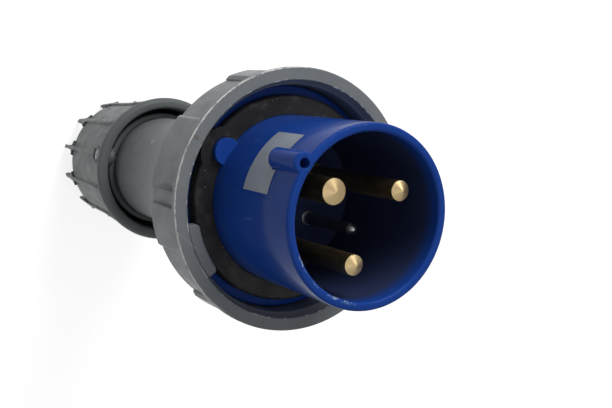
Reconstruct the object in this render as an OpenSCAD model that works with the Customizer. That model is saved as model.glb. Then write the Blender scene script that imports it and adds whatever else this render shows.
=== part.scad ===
/* [Overall] */

// Length from the tips of the gland fins to the mouth of the shroud
total_len = 253; // [250:1:262]

/* [Shroud and insert] */

// Outside diameter of the shroud at its mouth
shroud_d = 71; // [70:0.1:71.6]

// Wall of the shroud at its mouth
shroud_wall = 3.5; // [3:0.1:4]

// Taper of the shroud radius from mouth to root
shroud_taper = 0.7; // [0.3:0.1:1]

// Depth of the socket from the mouth to the pin base
socket_depth = 66; // [64:1:66]

// Diameter of the round key on the shroud
key_d = 8.6; // [8:0.1:9]

// Length of the round key
key_len = 19; // [17:0.5:20]

// Step from the socket floor down to the front of the flange
flange_step = 0.5; // [0.2:0.1:1.5]

/* [Contacts] */

// Diameter of the earth pin
earth_d = 10; // [9:0.5:11]

// Diameter of the line and neutral pins
phase_d = 8; // [7:0.5:9]

// Diameter of the pilot pin
pilot_d = 5; // [4:0.5:6]

// Distance from the axis to the earth pin
earth_pitch_r = 16.6; // [16:0.1:18]

// Distance from the axis to the line and neutral pins
phase_pitch_r = 18.7; // [17.5:0.1:19]

// Angle from the key to the line and neutral pins
phase_angle = 115; // [110:1:120]

// Distance from the axis to the pilot pin
pilot_pitch_r = 16.2; // [15:0.1:17]

// Distance from the mouth to the tips of the three power pins
power_recess = 2.4; // [1:0.1:6]

// Distance from the mouth to the tip of the pilot pin
pilot_recess = 29.8; // [28:0.1:36]

/* [Bayonet ring] */

// Reach of the rim of the ring beyond the shroud
ring_reach = 19.2; // [18.6:0.1:20]

// Length of the ring
ring_len = 27.9; // [27.5:0.1:29]

// Width of each grip lobe in degrees
lobe_angle = 62; // [56:1:66]

// Length of each bayonet lug in degrees round the ring
lug_angle = 27.5; // [20:0.5:30]

/* [Gland] */

// Outside diameter of the gland nut at its front rim
gland_rim_d = 72.4; // [71:0.2:74]

// Number of ribs and fins on the gland nut
rib_count = 12; // [8:1:14]

// Hole in the seal for the cord
cord_hole_d = 27; // [20:1:30]

/* [Hidden] */

$fn = 96;
eps = 0.01;         // overlap that joins the shapes of one piece
seat_gap = 0.03;    // gap between two seated pieces of one body
run_gap = 0.1;      // radial running fit
slide_gap = 0.3;    // free gap between pieces that move past each other
thread_gap = 0.08;  // radial gap of a thread drawn as a plain cylinder

// The object stands on its gland fins: z = 0 at their tips, the key is on the -Y side.
key_dir = 270;

// Shroud and insert
shroud_r = shroud_d / 2;
shroud_root_r = shroud_r - shroud_taper;
socket_r = shroud_r - shroud_wall;
base_z = total_len - socket_depth;
lip_r = 1.2;
rim_r = shroud_r + ring_reach;
ring_wall = 7.3;
ring_gap = 0.6;
ring_bore_r = rim_r - ring_wall;
flange_t = 4;
flange_r = ring_bore_r - ring_gap;
flange_top_z = base_z - flange_step;
flange_bottom_z = flange_top_z - flange_t;
neck_r = flange_r - 8.8;
neck_wall = 4.5;
neck_len = 15;
key_r = key_d / 2;
key_at = shroud_r + 0.1;
key_top_z = total_len - 0.5;
key_hole_r = 2;
key_hole_depth = 14;
nub_r = 5.6;
nub_at = shroud_root_r + 1.2;
nub_angle = 2;
nub_h = 8.1;
flange_notch_from = 12;
flange_notch_angle = lug_angle + 8;

// Label
label_t = 0.3;
label_recess = 17;
label_len = 19;
label_from = -20.7;
label_angle = 43.6;
label_key_gap = 0.4;

// Gasket
gasket_t = 5.7;
gasket_r = flange_r - 3.8;
gasket_ear_r = flange_r - 0.4 - nub_at;

// Contacts: earth at the key, line and neutral either side, pilot opposite
pin_angle = [0, phase_angle, -phase_angle, 180];
pin_at = [earth_pitch_r, phase_pitch_r, phase_pitch_r, pilot_pitch_r];
pin_r = [earth_d / 2, phase_d / 2, phase_d / 2, pilot_d / 2];
pin_recess = [power_recess, power_recess, power_recess, pilot_recess];
barrel_r = [7, 6.2, 6.2, 4.2];
barrel_len = [27, 27, 27, 25];
wire_hole_r = [3.7, 3.3, 3.3, 1.8];
wire_hole_depth = 15;
collar_t = 3;
collar_lip = 1.3;
pin_fit = 0.04;
pin_root = 0.5;
pin_nose = [2.1, 2.1, 2.1, 2.4];
pin_nose_bulge = [0, 0, 0, 0.5];
nose_steps = 8;

// Terminal screws, one pointing outward in each barrel
screw_up = 6.5;
screw_r = [2.5, 2.5, 2.5, 1.5];
screw_head_r = [3.8, 3.8, 3.8, 2.5];
screw_head_t = [3.2, 3.2, 3.2, 2.2];
screw_stand_off = 0.6;
screw_slot = 0.9;

// Retainer plate that traps the collars of the pins
retainer_t = 5;
retainer_r = neck_r - neck_wall - slide_gap;
retainer_screw_at = retainer_r - 9.2;
retainer_screw_angle = 57;
retainer_screw_r = 2;
retainer_head_r = 3.7;
retainer_head_t = 2.8;
retainer_bite = 4;
boss_r = 4.4;

// Bayonet ring
rim_t = 2.8;
ring_top_z = flange_top_z + 12.4;
ring_bottom_z = ring_top_z - ring_len;
ring_mouth_r = ring_bore_r + 2.1;
ring_floor_top_r = rim_r - 2.5;
ring_floor_bottom_r = rim_r - 3;
web_t = 4.2;
web_top_z = flange_bottom_z - slide_gap;
web_bottom_z = web_top_z - web_t;
lobe_count = 4;
lobe_from = -3.6;
lobe_top_r = rim_r - 0.9;
lobe_bottom_r = rim_r - 1.2;
lobe_len = ring_len - rim_t - 1;
lobe_round = 1.2;
lobe_slopes = [[0.3, 35], [1.1, 15]];
finger_from = 31;
finger_angle = [6.6, 16];
finger_depth = 1.7;
lug_from = 46.5;
lug_bore_r = gasket_r + 0.5;
lug_top_z = ring_top_z - 1.9;
lug_bottom_z = flange_top_z + gasket_t + slide_gap;
lug_corner = 2;

// Housing
wall = 3;
ring_seat_r = neck_r + 3;
housing_top_z = flange_bottom_z - seat_gap;
shoulder_z = web_bottom_z - slide_gap;
shoulder_r = ring_seat_r + 3.5;
skirt_bore_r = shoulder_r + 1.4;
housing_bore_r = neck_r + thread_gap;
bell_bottom_z = 72;
bell_steps = 24;
tube_r = 25.8;
tube_bottom_z = 65;
thread_r = 25.2;
thread_top_z = 62;
housing_bottom_z = 27;
tube_bore_r = 21.5;
seal_stop_r = 19;
seal_stop_t = 3;

// O-ring between neck and housing
oring_r = 1.25;
oring_z = flange_bottom_z - 4;
oring_at = housing_bore_r - oring_r - seat_gap;

// Gland nut
gland_top_z = 68;
gland_rim_r = gland_rim_d / 2;
gland_top_r = gland_rim_r - 2;
gland_bottom_r = gland_rim_r - 4.8;
gland_pocket_r = gland_rim_r - 5.2;
gland_pocket_z = 30;
gland_bore_r = thread_r + thread_gap;
gland_sleeve_r = gland_bore_r + 2.92;
gland_sleeve_top_z = thread_top_z - 0.5;
gland_rear_z = 15.4;
gland_mouth_r = 19;
gland_web_t = 5.6;
rib_from = 22.9;
rib_w = 2.2;
rib_mid_z = 41;
fin_tip_w = 1.8;
fin_depth = 5.4;
lock_angle = 23.4;
lock_z = 60;
lock_boss_r = 4.3;
lock_boss_at = gland_rim_r - 0.4;
lock_r = 1.5;
lock_head_r = 2.8;
lock_head_t = 2.2;

// Seal and washer inside the gland
washer_t = 3;
washer_z = gland_rear_z + gland_web_t + seat_gap;
washer_r = gland_bore_r - slide_gap;
cord_hole_r = cord_hole_d / 2;
seal_len = 18;
seal_z = washer_z + washer_t + seat_gap;

// Radius of the outside of the shroud at height z
function shroud_face(z) = shroud_root_r + shroud_taper * (z - base_z) / socket_depth;

// Radius of the outside of the housing bell, t from 0 at the tube to 1 at the shoulder
function bell_r(t) = tube_r + (shoulder_r - tube_r) * (1.6 * pow(t, 2) - 0.6 * pow(t, 5));
function bell_z(t) = bell_bottom_z + t * (shoulder_z - bell_bottom_z);

// Radius of the gland nut's outer face at height z
function gland_face(z) = gland_bottom_r + (gland_top_r - gland_bottom_r) * (z - gland_rear_z)
    / (gland_top_z - gland_rear_z);

// Children stand at radius r in direction a from the key, with +X pointing outward
module at_angle(r, a) {
    rotate([0, 0, key_dir + a]) translate([r, 0, 0]) children();
}

// Profile in [r, z] swept from angle a0 from the key through a
module sector(a0, a, points) {
    rotate([0, 0, key_dir + a0]) rotate_extrude(angle = a) polygon(points);
}

// Upright post, from z0 to z1
module post(r, z0, z1) {
    translate([0, 0, z0]) cylinder(r = r, h = z1 - z0);
}

// ---------- Pin shroud, one moulding with its key, base, flange and neck ----------

module shroud_shell() {
    rotate_extrude() {
        polygon([
            [socket_r, base_z - 1], [shroud_root_r, base_z - 1], [shroud_r, total_len - lip_r],
            [shroud_r - lip_r, total_len], [socket_r + lip_r, total_len],
            [socket_r, total_len - lip_r]
        ]);
        for (r = [socket_r + lip_r, shroud_r - lip_r])
            translate([r, total_len - lip_r]) circle(r = lip_r);
    }
}

module insert_base() {
    rotate_extrude() polygon([
        [0, flange_bottom_z], [neck_r - neck_wall, flange_bottom_z],
        [neck_r - neck_wall, flange_bottom_z - neck_len],
        [neck_r - 0.8, flange_bottom_z - neck_len], [neck_r, flange_bottom_z - neck_len + 0.8],
        [neck_r, flange_bottom_z], [flange_r - 0.6, flange_bottom_z],
        [flange_r, flange_bottom_z + 0.6], [flange_r, flange_top_z - 0.6],
        [flange_r - 0.6, flange_top_z], [shroud_root_r, flange_top_z], [shroud_root_r, base_z],
        [0, base_z]
    ]);
}

module round_key() {
    difference() {
        at_angle(key_at, 0) {
            post(key_r, key_top_z - key_len, key_top_z - 0.6);
            translate([0, 0, key_top_z - 0.6]) cylinder(r1 = key_r, r2 = key_r - 0.6, h = 0.6);
        }
        post(socket_r + eps, base_z, total_len + 1);
    }
}

module retainer_posts() {
    for (side = [-1, 1])
        at_angle(retainer_screw_at, side * retainer_screw_angle)
            post(boss_r, flange_bottom_z - collar_t, flange_bottom_z + 1);
}

module flange_notches() {
    for (turn = [0, 180])
        sector(flange_notch_from + turn, flange_notch_angle, [
            [gasket_r + 0.2, flange_bottom_z - 1], [flange_r + 1, flange_bottom_z - 1],
            [flange_r + 1, flange_top_z + 1], [gasket_r + 0.2, flange_top_z + 1]
        ]);
}

module pin_shroud() {
    color("royalblue") difference() {
        union() {
            shroud_shell();
            insert_base();
            round_key();
            retainer_posts();
            difference() {
                at_angle(nub_at, nub_angle) post(nub_r, flange_bottom_z + 1, flange_top_z + nub_h);
                post(shroud_root_r - 1, flange_bottom_z, total_len);
            }
        }
        at_angle(key_at, 0) post(key_hole_r, key_top_z - key_hole_depth, total_len + 1);
        for (i = [0:3])
            at_angle(pin_at[i], pin_angle[i])
                post(pin_r[i] + pin_root + pin_fit, flange_bottom_z - 1, base_z + 1);
        for (side = [-1, 1])
            at_angle(retainer_screw_at, side * retainer_screw_angle)
                post(retainer_screw_r + thread_gap, flange_bottom_z - collar_t - 1,
                    flange_bottom_z + retainer_bite + 1);
        flange_notches();
        rotate_extrude() translate([oring_at - oring_r - seat_gap, oring_z - oring_r - 0.2])
            square([neck_r, 2 * oring_r + 0.4]);
    }
}

module label_plate() {
    z1 = total_len - label_recess;
    z0 = z1 - label_len;
    color("silver") difference() {
        sector(label_from, label_angle, [
            [shroud_face(z0) + seat_gap, z0], [shroud_face(z0) + seat_gap + label_t, z0],
            [shroud_face(z1) + seat_gap + label_t, z1], [shroud_face(z1) + seat_gap, z1]
        ]);
        at_angle(key_at, 0) post(key_r + label_key_gap, key_top_z - key_len - label_key_gap, z1 + 1);
    }
}

module sealing_gasket() {
    z0 = flange_top_z + seat_gap;
    color("dimgray") difference() {
        union() {
            rotate_extrude() polygon([
                [shroud_root_r + 0.12, z0], [gasket_r, z0], [gasket_r, z0 + gasket_t - 0.8],
                [gasket_r - 0.8, z0 + gasket_t], [shroud_root_r + 0.12, z0 + gasket_t]
            ]);
            at_angle(nub_at, nub_angle + 1) post(gasket_ear_r, z0, z0 + gasket_t);
        }
        post(shroud_root_r + 0.12, z0 - 1, z0 + gasket_t + 1);
        at_angle(nub_at, nub_angle) post(nub_r + 0.1, z0 - 1, z0 + gasket_t + 1);
    }
}

// ---------- Contacts ----------

// Radius of the nose of contact i, t from 0 at the full pin to 1 at the tip
function nose_r(i, t) = pin_r[i] * ((1 - t) * (1 - pin_nose_bulge[i])
    + sqrt(1 - pow(t, 2)) * pin_nose_bulge[i]);

module contact(i) {
    tip_z = total_len - pin_recess[i];
    barrel_z = flange_bottom_z - seat_gap - barrel_len[i];
    at_angle(pin_at[i], pin_angle[i]) difference() {
        rotate_extrude() polygon([
            [0, barrel_z], [barrel_r[i] - 0.5, barrel_z], [barrel_r[i], barrel_z + 0.5],
            [barrel_r[i], flange_bottom_z - collar_t - seat_gap],
            [barrel_r[i] + collar_lip, flange_bottom_z - collar_t - seat_gap],
            [barrel_r[i] + collar_lip, flange_bottom_z - seat_gap],
            [pin_r[i] + pin_root, flange_bottom_z - seat_gap],
            [pin_r[i] + pin_root, base_z], [pin_r[i], base_z],
            for (k = [0:nose_steps])
                [nose_r(i, k / nose_steps), tip_z - pin_nose[i] * (1 - k / nose_steps)]
        ]);
        post(wire_hole_r[i], barrel_z - 1, barrel_z + wire_hole_depth);
        translate([0, 0, barrel_z + screw_up]) rotate([0, 90, 0])
            cylinder(r = screw_r[i] + thread_gap, h = barrel_r[i] + 1);
    }
}

module terminal_screw(i) {
    barrel_z = flange_bottom_z - seat_gap - barrel_len[i];
    head_x = barrel_r[i] + screw_stand_off;
    at_angle(pin_at[i], pin_angle[i]) translate([0, 0, barrel_z + screw_up]) difference() {
        rotate([0, 90, 0]) union() {
            translate([0, 0, wire_hole_r[i] - 1.5])
                cylinder(r = screw_r[i], h = head_x - wire_hole_r[i] + 1.6);
            translate([0, 0, head_x]) cylinder(r = screw_head_r[i], h = screw_head_t[i]);
        }
        translate([head_x + screw_head_t[i] - 1, -screw_head_r[i] - 1, -screw_slot / 2])
            cube([2, 2 * screw_head_r[i] + 2, screw_slot]);
    }
}

module earth_pin() { color("gold") contact(0); }
module line_pin() { color("gold") contact(1); }
module neutral_pin() { color("gold") contact(2); }
module pilot_pin() { color("silver") contact(3); }
module earth_terminal_screw() { color("silver") terminal_screw(0); }
module line_terminal_screw() { color("silver") terminal_screw(1); }
module neutral_terminal_screw() { color("silver") terminal_screw(2); }
module pilot_terminal_screw() { color("silver") terminal_screw(3); }

module pin_retainer() {
    z1 = flange_bottom_z - collar_t - 2 * seat_gap;
    color("navy") difference() {
        post(retainer_r, z1 - retainer_t, z1);
        for (i = [0:3])
            at_angle(pin_at[i], pin_angle[i]) post(barrel_r[i] + 0.15, z1 - retainer_t - 1, z1 + 1);
        for (side = [-1, 1])
            at_angle(retainer_screw_at, side * retainer_screw_angle)
                post(retainer_screw_r + 0.2, z1 - retainer_t - 1, z1 + 1);
    }
}

module retainer_screw(side) {
    z0 = flange_bottom_z - collar_t - retainer_t - 3 * seat_gap;
    at_angle(retainer_screw_at, side * retainer_screw_angle) difference() {
        union() {
            post(retainer_head_r, z0 - retainer_head_t, z0);
            post(retainer_screw_r, z0 - eps, flange_bottom_z + retainer_bite);
        }
        translate([-retainer_head_r - 1, -screw_slot / 2, z0 - retainer_head_t - 1])
            cube([2 * retainer_head_r + 2, screw_slot, 2.1]);
    }
}

module retainer_screw_left() { color("silver") retainer_screw(-1); }
module retainer_screw_right() { color("silver") retainer_screw(1); }

// ---------- Bayonet ring ----------

module lobe_plan() {
    half = lobe_angle / 2;
    for (i = [0:lobe_count - 1])
        rotate([0, 0, key_dir + lobe_from + half + 360 * i / lobe_count]) polygon([
            [0, 0], [(rim_r + 9) * cos(half), -(rim_r + 9) * sin(half)], [rim_r + 9, 0],
            [(rim_r + 9) * cos(half), (rim_r + 9) * sin(half)]
        ]);
}

module grip_lobes() {
    intersection() {
        rotate_extrude() polygon([
            [ring_floor_bottom_r - 1.2, ring_top_z - 0.5], [lobe_top_r, ring_top_z - 0.5],
            [lobe_bottom_r, ring_top_z - lobe_len - rim_t + lobe_round],
            [lobe_bottom_r - lobe_round, ring_top_z - lobe_len - rim_t],
            [ring_floor_bottom_r - 1.2, ring_top_z - lobe_len - rim_t]
        ]);
        translate([0, 0, ring_bottom_z]) linear_extrude(height = ring_len) lobe_plan();
    }
}

module lobe_edge_rounds() {
    half = lobe_angle / 2;
    for (i = [0:lobe_count - 1])
        for (side = [-1, 1])
            rotate([0, 0, key_dir + lobe_from + half + 360 * i / lobe_count + side * half])
                for (slope = lobe_slopes)
                    translate([ring_floor_top_r + slope[0], 0, ring_bottom_z])
                        linear_extrude(height = ring_len - rim_t) rotate([0, 0, side * slope[1]])
                            translate([0, -9]) square([6, 12]);
}

module bayonet_ring() {
    color("slategray") difference() {
        union() {
            rotate_extrude() polygon([
                [ring_seat_r + run_gap, web_bottom_z], [ring_seat_r + run_gap, web_top_z],
                [ring_bore_r, web_top_z], [ring_bore_r, ring_top_z - 4],
                [ring_mouth_r - 1.2, ring_top_z - 2.6], [ring_mouth_r, ring_top_z],
                [rim_r - 0.4, ring_top_z], [rim_r, ring_top_z - 0.4], [rim_r, ring_top_z - rim_t],
                [ring_floor_top_r + 1, ring_top_z - rim_t], [ring_floor_top_r, ring_top_z - rim_t - 1],
                [ring_floor_bottom_r, ring_bottom_z + 0.6], [ring_floor_bottom_r - 0.6, ring_bottom_z],
                [skirt_bore_r, ring_bottom_z], [skirt_bore_r, web_bottom_z]
            ]);
            difference() {
                grip_lobes();
                lobe_edge_rounds();
                post(ring_bore_r + eps, ring_bottom_z - 1, ring_top_z + 1);
            }
            for (turn = [0, 180])
                sector(lug_from + turn, lug_angle, [
                    [lug_bore_r, lug_bottom_z], [ring_bore_r + 1, lug_bottom_z],
                    [ring_bore_r + 1, lug_top_z], [lug_bore_r + 0.8, lug_top_z],
                    [lug_bore_r, lug_top_z - 0.8]
                ]);
        }
        for (i = [0:lobe_count - 1])
            sector(finger_from + 360 * i / lobe_count, finger_angle[i % 2], [
                [lobe_top_r - finger_depth, ring_top_z - rim_t],
                [lobe_top_r + 3, ring_top_z - rim_t],
                [lobe_top_r + 3, ring_top_z - lobe_len - rim_t - 1],
                [lobe_bottom_r - 1.4, ring_top_z - lobe_len - rim_t - 1]
            ]);
        for (turn = [0, 180])
            for (end = [0, lug_angle])
                at_angle(lug_bore_r, lug_from + turn + end) rotate([0, 0, 45])
                    translate([-lug_corner / 2, -lug_corner / 2, lug_bottom_z - 0.1])
                        cube([lug_corner, lug_corner, ring_top_z - lug_bottom_z]);
    }
}

// ---------- Rear housing ----------

module rear_housing() {
    inner = [for (i = [0:bell_steps]) let (t = i / bell_steps, z = bell_z(t))
        if (z > tube_bottom_z + 8 && z < flange_bottom_z - neck_len - 4)
            [max(bell_r(t) - wall, tube_bore_r), z]];
    outer = [for (i = [bell_steps:-1:0]) [bell_r(i / bell_steps), bell_z(i / bell_steps)]];
    color("slategray") rotate_extrude() polygon(concat(
        [
            [thread_r - 0.8, housing_bottom_z], [tube_bore_r, housing_bottom_z],
            [tube_bore_r, housing_bottom_z + seal_len],
            [seal_stop_r, housing_bottom_z + seal_len],
            [seal_stop_r, housing_bottom_z + seal_len + seal_stop_t],
            [tube_bore_r, housing_bottom_z + seal_len + 2 * seal_stop_t]
        ],
        inner,
        [
            [housing_bore_r, flange_bottom_z - neck_len - 2], [housing_bore_r, housing_top_z],
            [ring_seat_r, housing_top_z], [ring_seat_r, shoulder_z]
        ],
        outer,
        [
            [tube_r, tube_bottom_z], [thread_r, thread_top_z], [thread_r, housing_bottom_z + 0.8]
        ]
    ));
}

module housing_seal() {
    color("black") rotate_extrude() translate([oring_at, oring_z]) circle(r = oring_r);
}

// ---------- Gland ----------

module cable_seal() {
    z0 = seal_z;
    z1 = housing_bottom_z - seat_gap;
    color("black") rotate_extrude() polygon([
        [cord_hole_r + 1.2, z0], [thread_r - 0.6, z0], [thread_r - 0.6, z1],
        [tube_bore_r - seat_gap, z1], [tube_bore_r - seat_gap, z1 + seal_len],
        [cord_hole_r, z1 + seal_len], [cord_hole_r, z0 + 1.2]
    ]);
}

module thrust_washer() {
    color("gainsboro") difference() {
        post(washer_r, washer_z, washer_z + washer_t);
        post(cord_hole_r + 1.5, washer_z - 1, washer_z + washer_t + 1);
    }
}

module gland_shell() {
    rotate_extrude() polygon([
        [gland_mouth_r, gland_rear_z], [gland_bottom_r - 0.6, gland_rear_z],
        [gland_bottom_r, gland_rear_z + 0.6], [gland_top_r - 0.1, gland_top_z - 4.8],
        [gland_rim_r - 0.6, gland_top_z - 4.1], [gland_rim_r - 0.05, gland_top_z - 3.3],
        [gland_rim_r, gland_top_z - 2.4], [gland_rim_r - 0.25, gland_top_z - 1.5],
        [gland_rim_r - 0.9, gland_top_z - 0.6], [gland_rim_r - 2, gland_top_z],
        [gland_pocket_r + 0.8, gland_top_z],
        [gland_pocket_r, gland_top_z - 0.8], [gland_face(gland_pocket_z) - 2.6, gland_pocket_z],
        [gland_sleeve_r - 0.6, gland_pocket_z], [gland_sleeve_r, gland_sleeve_top_z - 0.6],
        [gland_sleeve_r - 0.6, gland_sleeve_top_z], [gland_bore_r + 0.6, gland_sleeve_top_z],
        [gland_bore_r, gland_sleeve_top_z - 0.6], [gland_bore_r, gland_rear_z + gland_web_t],
        [gland_mouth_r, gland_rear_z + gland_web_t]
    ]);
}

module gland_rib() {
    rotate([90, 0, 0]) linear_extrude(height = rib_w, center = true) polygon([
        [gland_bottom_r - 1.5, gland_rear_z], [gland_bottom_r + 0.9, gland_rear_z],
        [gland_face(rib_mid_z) + 0.9, rib_mid_z], [gland_rim_r - 0.4, gland_top_z - 4],
        [gland_pocket_r + 1, gland_top_z - 4]
    ]);
}

module gland_fin() {
    intersection() {
        rotate([90, 0, 0]) linear_extrude(height = 12, center = true) polygon([
            [gland_bottom_r - fin_depth, gland_rear_z + 0.5], [gland_bottom_r - 1.8, 0],
            [gland_bottom_r - 0.7, 0], [gland_bottom_r + 0.3, 0.6 * gland_rear_z],
            [gland_bottom_r + 0.9, gland_rear_z + 0.5]
        ]);
        rotate([90, 0, 90]) linear_extrude(height = gland_rim_r) polygon([
            [-fin_tip_w / 2, 0], [fin_tip_w / 2, 0], [rib_w / 2 - 0.1, 0.6 * gland_rear_z],
            [rib_w / 2 + 0.3, gland_rear_z - 2], [rib_w / 2 + 1.5, gland_rear_z - 0.4],
            [rib_w / 2 + 2.8, gland_rear_z + 0.5], [-rib_w / 2 - 2.8, gland_rear_z + 0.5],
            [-rib_w / 2 - 1.5, gland_rear_z - 0.4], [-rib_w / 2 - 0.3, gland_rear_z - 2],
            [-rib_w / 2 + 0.1, 0.6 * gland_rear_z]
        ]);
    }
}

module gland_nut() {
    color("gray") difference() {
        union() {
            gland_shell();
            for (i = [0:rib_count - 1])
                at_angle(0, rib_from + 360 * i / rib_count) {
                    gland_rib();
                    gland_fin();
                }
            at_angle(0, lock_angle) translate([gland_sleeve_r - 1, 0, lock_z]) rotate([0, 90, 0])
                cylinder(r = lock_boss_r, h = lock_boss_at - gland_sleeve_r + 1);
        }
        at_angle(0, lock_angle) translate([gland_bore_r - 2, 0, lock_z]) rotate([0, 90, 0])
            cylinder(r = lock_r + thread_gap, h = gland_rim_r);
        at_angle(0, lock_angle) translate([lock_boss_at - lock_head_t - 0.8, 0, lock_z])
            rotate([0, 90, 0]) cylinder(r = lock_head_r + 0.15, h = gland_rim_r);
    }
}

module gland_lock_screw() {
    head_x = lock_boss_at - lock_head_t - 0.8 + seat_gap;
    color("silver") at_angle(0, lock_angle) translate([0, 0, lock_z]) difference() {
        rotate([0, 90, 0]) union() {
            translate([0, 0, gland_bore_r + 0.2]) cylinder(r = lock_r, h = head_x - gland_bore_r);
            translate([0, 0, head_x]) cylinder(r = lock_head_r, h = lock_head_t);
        }
        for (turn = [0, 90])
            translate([head_x + lock_head_t - 1.2, 0, 0]) rotate([turn, 0, 0])
                translate([0, -1.7, -0.4]) cube([2, 3.4, 0.8]);
    }
}

pin_shroud();
label_plate();
sealing_gasket();
bayonet_ring();
rear_housing();
housing_seal();
earth_pin();
line_pin();
neutral_pin();
pilot_pin();
earth_terminal_screw();
line_terminal_screw();
neutral_terminal_screw();
pilot_terminal_screw();
pin_retainer();
retainer_screw_left();
retainer_screw_right();
cable_seal();
thrust_washer();
gland_nut();
gland_lock_screw();
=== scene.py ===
import math

import bmesh
import bpy
from mathutils import Matrix, Vector


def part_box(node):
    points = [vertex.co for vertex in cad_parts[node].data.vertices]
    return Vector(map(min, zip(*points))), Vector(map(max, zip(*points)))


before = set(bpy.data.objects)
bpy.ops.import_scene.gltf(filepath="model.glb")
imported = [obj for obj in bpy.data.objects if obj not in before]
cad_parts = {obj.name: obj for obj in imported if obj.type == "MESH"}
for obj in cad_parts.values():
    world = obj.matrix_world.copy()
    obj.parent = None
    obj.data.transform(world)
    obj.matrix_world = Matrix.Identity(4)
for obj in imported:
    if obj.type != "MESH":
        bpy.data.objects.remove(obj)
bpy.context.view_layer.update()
scene = bpy.context.scene
scene.view_settings.view_transform = "Standard"

# ---------- Where the object and the camera are ----------

MM = 0.001
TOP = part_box("pin_shroud")[1][2]
RING_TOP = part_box("bayonet_ring")[1][2]
RING_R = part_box("bayonet_ring")[1][0]

# The object's own axes seen from the camera: right, down, forward
AXIS_X = Vector((-0.52783, 0.82562, -0.19945))
AXIS_Y = Vector((0.67617, 0.55056, 0.48961))
AXIS_Z = Vector((0.51400, 0.12360, -0.84890))
MOUTH = Vector((23.86, 5.18, 420.15)) * MM    # middle of the mouth, seen the same way
RIGHT = Vector((AXIS_X.x, AXIS_Y.x, AXIS_Z.x)).normalized()
UP = -Vector((AXIS_X.y, AXIS_Y.y, AXIS_Z.y)).normalized()
BACK = RIGHT.cross(UP).normalized()
UP = BACK.cross(RIGHT).normalized()
EYE = Vector((-MOUTH.dot(AXIS_X), -MOUTH.dot(AXIS_Y), TOP - MOUTH.dot(AXIS_Z)))
LENS_MM = 66.635
SENSOR_MM = 36
MIDDLE = Vector((0, 0, 0.62 * TOP))


def facing(right, up, back, at):
    m = Matrix((right, up, back)).transposed().to_4x4()
    m.translation = at
    return m


def add_camera():
    data = bpy.data.cameras.new("camera")
    data.sensor_width = SENSOR_MM
    data.lens = LENS_MM
    data.clip_start = 0.01
    camera = bpy.data.objects.new("camera", data)
    camera.matrix_world = facing(RIGHT, UP, BACK, EYE)
    scene.collection.objects.link(camera)
    scene.camera = camera


def add_area(name, direction, distance, size, power):
    data = bpy.data.lights.new(name, "AREA")
    data.shape = "RECTANGLE"
    data.size = size
    data.size_y = size
    data.energy = power
    lamp = bpy.data.objects.new(name, data)
    at = MIDDLE + direction.normalized() * distance
    lamp.matrix_world = (MIDDLE - at).to_track_quat("-Z", "Y").to_matrix().to_4x4()
    lamp.matrix_world.translation = at
    scene.collection.objects.link(lamp)


# ---------- Node helpers ----------

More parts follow.
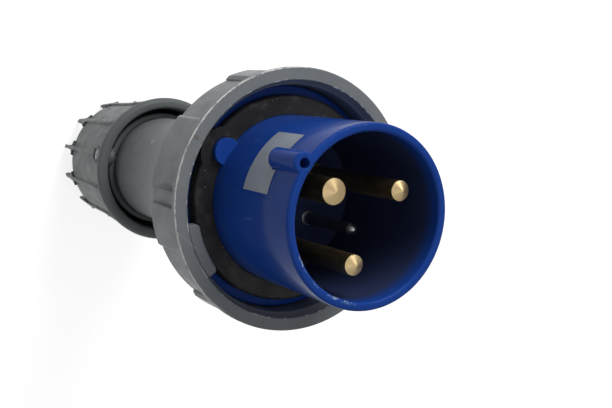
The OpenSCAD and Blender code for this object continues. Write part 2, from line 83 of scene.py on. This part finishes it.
class Look:
    """A material built from small procedural steps in object space."""

    def __init__(self, name):
        self.material = bpy.data.materials.new(name)
        self.material.use_nodes = True
        self.tree = self.material.node_tree
        self.shader = self.tree.nodes["Principled BSDF"]
        self.at = self.node("ShaderNodeTexCoord").outputs["Object"]
        split = self.node("ShaderNodeSeparateXYZ")
        self.link(self.at, split.inputs[0])
        self.x, self.y, self.z = split.outputs

    def node(self, kind, **settings):
        made = self.tree.nodes.new(kind)
        for key, value in settings.items():
            setattr(made, key, value)
        return made

    def link(self, source, socket):
        if hasattr(source, "is_output"):
            self.tree.links.new(source, socket)
        else:
            socket.default_value = source

    def math(self, operation, *values):
        made = self.node("ShaderNodeMath", operation=operation)
        for value, socket in zip(values, made.inputs):
            self.link(value, socket)
        return made.outputs[0]

    def add(self, a, b):
        return self.math("ADD", a, b)

    def sub(self, a, b):
        return self.math("SUBTRACT", a, b)

    def mul(self, a, b):
        return self.math("MULTIPLY", a, b)

    def fade(self, value, low, high, to_low=0.0, to_high=1.0):
        made = self.node("ShaderNodeMapRange", interpolation_type="SMOOTHSTEP")
        for source, socket in zip((value, low, high, to_low, to_high), made.inputs):
            self.link(source, socket)
        return made.outputs[0]

    def band(self, value, low, high, soft):
        """1 between low and high, fading to 0 over soft on both sides."""
        return self.mul(self.fade(value, low - soft, low), self.fade(value, high + soft, high))

    def noise(self, scale, detail=2.0, rough=0.5, stretch=None, twist=0.0):
        at = self.at
        if stretch:
            mapping = self.node("ShaderNodeMapping")
            self.link(at, mapping.inputs[0])
            mapping.inputs["Rotation"].default_value = (twist, 0.7 * twist, twist)
            mapping.inputs["Scale"].default_value = stretch
            at = mapping.outputs[0]
        made = self.node("ShaderNodeTexNoise")
        self.link(at, made.inputs["Vector"])
        made.inputs["Scale"].default_value = scale
        made.inputs["Detail"].default_value = detail
        made.inputs["Roughness"].default_value = rough
        return made.outputs[0]

    def cells(self, scale):
        """0 at the middle of each grain, growing outward."""
        made = self.node("ShaderNodeTexVoronoi")
        self.link(self.at, made.inputs["Vector"])
        made.inputs["Scale"].default_value = scale
        return made.outputs["Distance"]

    def mix(self, factor, a, b):
        made = self.node("ShaderNodeMix", data_type="RGBA")
        self.link(factor, made.inputs[0])
        for value, socket in ((a, made.inputs[6]), (b, made.inputs[7])):
            if isinstance(value, tuple):
                value = (*value, 1.0)
            self.link(value, socket)
        return made.outputs[2]

    def near(self, point, inner, outer):
        """1 near a point, in metres, fading to 0 from inner to outer."""
        made = self.node("ShaderNodeVectorMath", operation="DISTANCE")
        self.link(self.at, made.inputs[0])
        made.inputs[1].default_value = point
        return self.fade(made.outputs["Value"], outer, inner)

    def turn(self):
        """Angle from the key in degrees, and distance from the axis in mm."""
        angle = self.math("ARCTAN2", self.x, self.mul(self.y, -1.0))
        across = self.math("SQRT", self.add(self.mul(self.x, self.x), self.mul(self.y, self.y)))
        return self.mul(angle, 180 / math.pi), self.mul(across, 1000.0)

    def height(self):
        return self.mul(self.z, 1000.0)

    def edges(self, radius):
        """1 on sharp edges, from a rounded normal against the true one."""
        rounded = self.node("ShaderNodeBevel", samples=6)
        rounded.inputs["Radius"].default_value = radius
        true = self.node("ShaderNodeNewGeometry").outputs["Normal"]
        made = self.node("ShaderNodeVectorMath", operation="DOT_PRODUCT")
        self.link(rounded.outputs[0], made.inputs[0])
        self.link(true, made.inputs[1])
        return self.fade(self.sub(1.0, made.outputs["Value"]), 0.03, 0.25)

    def bump(self, *layers, soften=None):
        """Layers are (height, strength, distance); soften rounds the edges."""
        normal = None
        if soften:
            rounded = self.node("ShaderNodeBevel", samples=6)
            rounded.inputs["Radius"].default_value = soften
            normal = rounded.outputs[0]
        for height, strength, distance in layers:
            made = self.node("ShaderNodeBump")
            made.inputs["Strength"].default_value = strength
            made.inputs["Distance"].default_value = distance
            self.link(height, made.inputs["Height"])
            if normal:
                self.link(normal, made.inputs["Normal"])
            normal = made.outputs[0]
        self.link(normal, self.shader.inputs["Normal"])

    def finish(self, color, rough, metallic=0.0, **sockets):
        if isinstance(color, tuple):
            color = (*color, 1.0)
        self.link(color, self.shader.inputs["Base Color"])
        self.link(rough, self.shader.inputs["Roughness"])
        self.shader.inputs["Metallic"].default_value = metallic
        for key, value in sockets.items():
            self.shader.inputs[key.replace("_", " ")].default_value = value
        return self.material


def scratches(look, scale, twist):
    """Thin lines along one direction."""
    lines_and_shade = look.noise(scale, detail=1.0, stretch=(1.0, 0.06, 0.06), twist=twist)
    return look.fade(lines_and_shade, 0.695, 0.72)


def shade(look, base, low, high, scale):
    """The base colour, drifting between two levels over a soft noise."""
    dark = tuple(c * low for c in base)
    light = tuple(min(1.0, c * high) for c in base)
    return look.mix(look.fade(look.noise(scale, detail=4.0), 0.3, 0.7), dark, light)


# ---------- Materials ----------

GREY = (0.185, 0.197, 0.203)
BLUE = (0.0125, 0.056, 0.3)
RUBBER = (0.011, 0.011, 0.012)
TARNISH = (0.3, 0.25, 0.18)

# The moulded outline round the outside of the shroud
OUTLINE_TURN = 1.65           # its middle, degrees from the key
OUTLINE_DEPTH = 35.3          # its middle, mm below the mouth
OUTLINE_HALF_TURN = 24.2      # degrees
OUTLINE_HALF_HEIGHT = 21.6    # mm

SPOT_R = 53.0                 # a brown spot on the face of the ring, mm from the axis
SPOT_TURN = 6.2               # degrees from the key
PALE_SPOT_AT = (-0.0006, -0.0282, 0.1021)    # a pale spot on the rear housing


def grey_plastic(name, base=GREY, marks=None, round_by=0.0005):
    look = Look(name)
    color = shade(look, base, 0.92, 1.08, 45)
    color = look.mix(look.fade(look.noise(1400, detail=2.0), 0.35, 0.65, 0.0, 0.22), color,
                     tuple(c * 1.25 for c in base))
    dust = look.cells(520)
    color = look.mix(look.fade(dust, 0.11, 0.07, 0.0, 0.35), color, (0.42, 0.42, 0.4))
    scuff = look.mul(scratches(look, 420, 0.6), look.fade(look.noise(60), 0.45, 0.6))
    color = look.mix(look.mul(scuff, 0.15), color, (0.4, 0.41, 0.42))
    worn = look.mul(look.edges(0.0006), look.fade(look.noise(500, detail=3.0), 0.42, 0.6))
    color = look.mix(look.mul(worn, 0.4), color, (0.5, 0.5, 0.5))
    if marks:
        color = marks(look, color)
    rough = look.fade(look.noise(160, detail=3.0), 0.3, 0.7, 0.36, 0.5)
    look.bump((look.noise(2600, detail=1.0), 0.10, 0.00008), (look.noise(90), 0.12, 0.0006),
              soften=round_by)
    return look.finish(color, rough, Specular_IOR_Level=0.22)


def ring_marks(look, color):
    angle, across = look.turn()
    height = look.height()
    top = RING_TOP / MM
    ragged = look.mul(look.noise(700, detail=3.0), 0.9)
    edge = look.mul(look.fade(look.add(across, ragged), RING_R / MM - 0.02, RING_R / MM + 0.08),
                    look.fade(height, top - 0.85, top - 0.6))
    edge = look.mul(edge, look.band(angle, -52.0, 82.0, 14.0))
    edge = look.mul(edge, look.fade(look.noise(340, detail=4.0), 0.3, 0.55))
    color = look.mix(look.mul(edge, 0.9), color, (0.7, 0.7, 0.68))
    inner = look.mul(look.fade(look.add(across, look.mul(look.noise(900), 0.8)), 50.25, 49.95),
                     look.fade(height, top - 0.6, top - 0.3))
    inner = look.mul(inner, look.fade(look.noise(330, detail=3.0), 0.56, 0.62))
    color = look.mix(look.mul(inner, 0.8), color, (0.7, 0.7, 0.68))
    r = SPOT_R * MM
    a = math.radians(SPOT_TURN)
    spot = look.near((r * math.sin(a), -r * math.cos(a), RING_TOP), 0.0005, 0.0015)
    spot = look.mul(spot, look.fade(look.noise(1500), 0.35, 0.55))
    return look.mix(look.mul(spot, 0.8), color, (0.13, 0.075, 0.03))


def housing_marks(look, color):
    # A small pale spot painted on the rear housing.
    pale_spot = look.near(PALE_SPOT_AT, 0.0009, 0.0019)
    return look.mix(look.mul(pale_spot, 0.9), color, (0.52, 0.5, 0.47))


def blue_plastic(name, lines_and_shade=True):
    look = Look(name)
    angle, across = look.turn()
    height = look.height()
    color = shade(look, BLUE, 0.93, 1.07, 40)
    dust = look.cells(380)
    color = look.mix(look.fade(dust, 0.075, 0.05, 0.0, 0.35), color, (0.2, 0.28, 0.42))
    scuff = look.mul(scratches(look, 380, 1.1), look.fade(look.noise(70), 0.5, 0.62))
    color = look.mix(look.mul(scuff, 0.25), color, (0.12, 0.2, 0.4))
    worn = look.mul(look.edges(0.0005), look.fade(look.noise(420, detail=3.0), 0.4, 0.65))
    color = look.mix(look.mul(worn, 0.35), color, (0.12, 0.25, 0.6))
    groove = None
    # The moulded outline, the burr at the lip and painted shade inside the socket.
    if lines_and_shade:
        top = TOP / MM
        # Painted shade: inside the socket the blue darkens towards a dark grey-blue, fading in
        # from 1.5 to 10 mm below the mouth.
        socket_shade = look.mul(look.fade(across, 32.6, 32.2), look.fade(height, top - 1.5, top - 10.0))
        color = look.mix(look.mul(socket_shade, 0.85), color, (0.032, 0.038, 0.068))
        side = look.math("ABSOLUTE", look.sub(angle, OUTLINE_TURN))
        end = look.math("ABSOLUTE", look.sub(height, top - OUTLINE_DEPTH))
        outside = look.fade(across, 33.6, 34.0)
        wide, tall = OUTLINE_HALF_TURN, OUTLINE_HALF_HEIGHT
        across_line = look.mul(look.band(side, wide, wide + 0.25, 0.12),
                               look.fade(end, tall + 0.4, tall + 0.1))
        along_line = look.mul(look.band(end, tall, tall + 0.15, 0.08),
                              look.fade(side, wide + 0.4, wide + 0.2))
        groove = look.mul(look.math("MAXIMUM", across_line, along_line), outside)
        color = look.mix(look.mul(groove, 0.4), color, (0.06, 0.13, 0.34))
        burr = look.band(across, 32.0, 33.0, 0.25)
        burr = look.mul(burr, look.fade(height, top - 1.6, top - 0.6))
        burr = look.mul(burr, look.band(angle, 62.0, 112.0, 8.0))
        burr = look.mul(burr, look.fade(look.noise(520, detail=4.0, rough=0.7), 0.5, 0.6))
        color = look.mix(look.mul(burr, 0.85), color, (0.35, 0.45, 0.62))
    rough = look.fade(look.noise(120, detail=3.0), 0.3, 0.7, 0.12, 0.18)
    layers = [(look.noise(1800, detail=1.0), 0.03, 0.00006), (look.noise(70), 0.1, 0.0008)]
    if groove:
        layers.append((look.sub(1.0, groove), 0.5, 0.0002))
    look.bump(*layers, soften=0.0005)
    return look.finish(color, rough, Specular_IOR_Level=0.04)


def black_rubber(name, dusty):
    look = Look(name)
    color = shade(look, RUBBER, 0.7, 1.5, 60)
    film = look.mul(look.fade(look.noise(110, detail=5.0, rough=0.65), 0.48, 0.72), 0.35 * dusty)
    color = look.mix(film, color, (0.12, 0.115, 0.105))
    dust = look.cells(420)
    grains = look.mul(look.fade(dust, 0.12, 0.06), look.fade(look.noise(80), 0.5, 0.62))
    color = look.mix(look.mul(grains, 0.6 * dusty), color, (0.3, 0.29, 0.27))
    rough = look.fade(look.noise(200, detail=3.0), 0.3, 0.7, 0.42, 0.62)
    look.bump((look.noise(1500, detail=3.0), 0.25, 0.0001), (look.noise(130), 0.2, 0.0004),
              soften=0.0005)
    return look.finish(color, rough, Specular_IOR_Level=0.2)


def metal(name, base, rough_low, rough_high, amount):
    """Turned metal with a little tarnish."""
    look = Look(name)
    color = shade(look, base, 0.9, 1.05, 120)
    stain = look.mul(look.fade(look.noise(260, detail=5.0, rough=0.65), 0.5, 0.75), amount)
    color = look.mix(stain, color, TARNISH)
    rough = look.fade(look.noise(330, detail=3.0), 0.3, 0.7, rough_low, rough_high)
    grain = look.noise(2600, detail=1.0)
    turning = look.noise(60, detail=2.0, stretch=(1.0, 1.0, 90.0))
    look.bump((grain, 0.06, 0.00005), (turning, 0.05, 0.00005), soften=0.0002)
    return look.finish(color, rough, metallic=1.0)


def label_film():
    look = Look("label_film")
    color = shade(look, (0.28, 0.31, 0.365), 0.93, 1.06, 90)
    specks = look.cells(700)
    color = look.mix(look.fade(specks, 0.1, 0.06, 0.0, 0.3), color, (0.1, 0.11, 0.13))
    rub = look.mul(scratches(look, 500, 0.3), 0.25)
    color = look.mix(rub, color, (0.4, 0.41, 0.43))
    rough = look.fade(look.noise(300, detail=3.0), 0.3, 0.7, 0.32, 0.45)
    look.bump((look.noise(900, detail=2.0), 0.05, 0.00005), soften=0.0001)
    return look.finish(color, rough, Specular_IOR_Level=0.3)


def paint(node, material):
    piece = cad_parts[node]
    for slot in piece.material_slots:
        slot.material = material
    if not piece.material_slots:
        piece.data.materials.append(material)


def paint_nodes():
    blue = blue_plastic("blue_plastic")
    paint("pin_shroud", blue)
    paint("pin_retainer", blue_plastic("retainer_plastic", lines_and_shade=False))
    paint("label_plate", label_film())
    paint("sealing_gasket", black_rubber("gasket_rubber", dusty=1.0))
    paint("bayonet_ring", grey_plastic("ring_plastic", marks=ring_marks))
    paint("rear_housing", grey_plastic("housing_plastic", (0.19, 0.204, 0.211), housing_marks))
    # Painted shade: the gland nut gets a darker copy of the grey plastic than the ring and
    # housing.
    paint("gland_nut", grey_plastic("nut_plastic_painted_shade", (0.113, 0.124, 0.126), round_by=0.0016))
    rubber = black_rubber("seal_rubber", dusty=0.3)
    paint("housing_seal", rubber)
    paint("cable_seal", rubber)
    brass = metal("brass_pin", (0.38, 0.285, 0.15), 0.3, 0.42, amount=0.1)
    for node in ("earth_pin", "line_pin", "neutral_pin"):
        paint(node, brass)
    paint("pilot_pin", metal("plated_pin", (0.3, 0.31, 0.33), 0.3, 0.42, amount=0.08))
    steel = metal("zinc_steel", (0.6, 0.61, 0.62), 0.2, 0.38, amount=0.2)
    for name in ("earth", "line", "neutral", "pilot"):
        paint(name + "_terminal_screw", steel)
    paint("retainer_screw_left", steel)
    paint("retainer_screw_right", steel)
    paint("gland_lock_screw", steel)
    paint("thrust_washer", grey_plastic("washer_nylon", (0.62, 0.6, 0.54)))


# ---------- Floor, world and lamps ----------

FLOOR_R = 3.0
FLOOR_SIDES = 64
FLOOR_DROP = 0.0002  # too little at gland_turn_max, where the nut is 6 mm lower
FLOOR_GREY = 0.45
FLOOR_GLOW = 0.8     # what a direct ray sees on top of the lit grey
WORLD_LIGHT = 0.22   # what lights the object
WORLD_TINT = (0.95, 0.97, 1.0, 1)


def seen_directly(tree):
    """1 for a ray from the camera, off gloss or through glass."""
    path = tree.nodes.new("ShaderNodeLightPath")
    total = path.outputs["Is Camera Ray"]
    for name in ("Is Glossy Ray", "Is Transmission Ray"):
        step = tree.nodes.new("ShaderNodeMath")
        step.operation = "MAXIMUM"
        tree.links.new(total, step.inputs[0])
        tree.links.new(path.outputs[name], step.inputs[1])
        total = step.outputs[0]
    return total


def add_world():
    world = bpy.data.worlds.new("studio")
    scene.world = world
    world.use_nodes = True
    tree = world.node_tree
    tree.nodes.clear()
    out = tree.nodes.new("ShaderNodeOutputWorld")
    mix = tree.nodes.new("ShaderNodeMixShader")
    tree.links.new(seen_directly(tree), mix.inputs[0])
    for slot, color, strength in ((1, WORLD_TINT, WORLD_LIGHT), (2, (1, 1, 1, 1), 1.0)):
        light = tree.nodes.new("ShaderNodeBackground")
        light.inputs["Color"].default_value = color
        light.inputs["Strength"].default_value = strength
        tree.links.new(light.outputs[0], mix.inputs[slot])
    tree.links.new(mix.outputs[0], out.inputs[0])


def add_floor():
    mesh = bpy.data.meshes.new("floor")
    made = bmesh.new()
    for turn in range(FLOOR_SIDES):
        a = 2 * math.pi * turn / FLOOR_SIDES
        made.verts.new((FLOOR_R * math.cos(a), FLOOR_R * math.sin(a), -FLOOR_DROP))
    made.faces.new(made.verts)
    made.to_mesh(mesh)
    made.free()
    floor = bpy.data.objects.new("floor", mesh)
    scene.collection.objects.link(floor)
    look = Look("floor_white")
    look.finish((FLOOR_GREY, FLOOR_GREY, FLOOR_GREY), 0.7)
    tree = look.tree
    out = tree.nodes["Material Output"]
    glow = tree.nodes.new("ShaderNodeEmission")
    glow.inputs["Color"].default_value = (1, 1, 1, 1)
    step = tree.nodes.new("ShaderNodeMath")
    step.operation = "MULTIPLY"
    step.inputs[1].default_value = FLOOR_GLOW
    tree.links.new(seen_directly(tree), step.inputs[0])
    tree.links.new(step.outputs[0], glow.inputs["Strength"])
    both = tree.nodes.new("ShaderNodeAddShader")
    tree.links.new(look.shader.outputs[0], both.inputs[0])
    tree.links.new(glow.outputs[0], both.inputs[1])
    tree.links.new(both.outputs[0], out.inputs["Surface"])
    mesh.materials.append(look.material)


paint_nodes()
add_camera()
add_world()
add_floor()
add_area("key", RIGHT * 0.5 + UP * 0.7 + BACK * 0.45, distance=0.9, size=0.5, power=6)
add_area("fill", BACK * 0.9 + RIGHT * 0.35 - UP * 0.25, distance=1.4, size=0.9, power=2.2)
add_area("side", -RIGHT * 0.7 - UP * 0.5 + BACK * 0.45, distance=1.2, size=0.8, power=1.6)
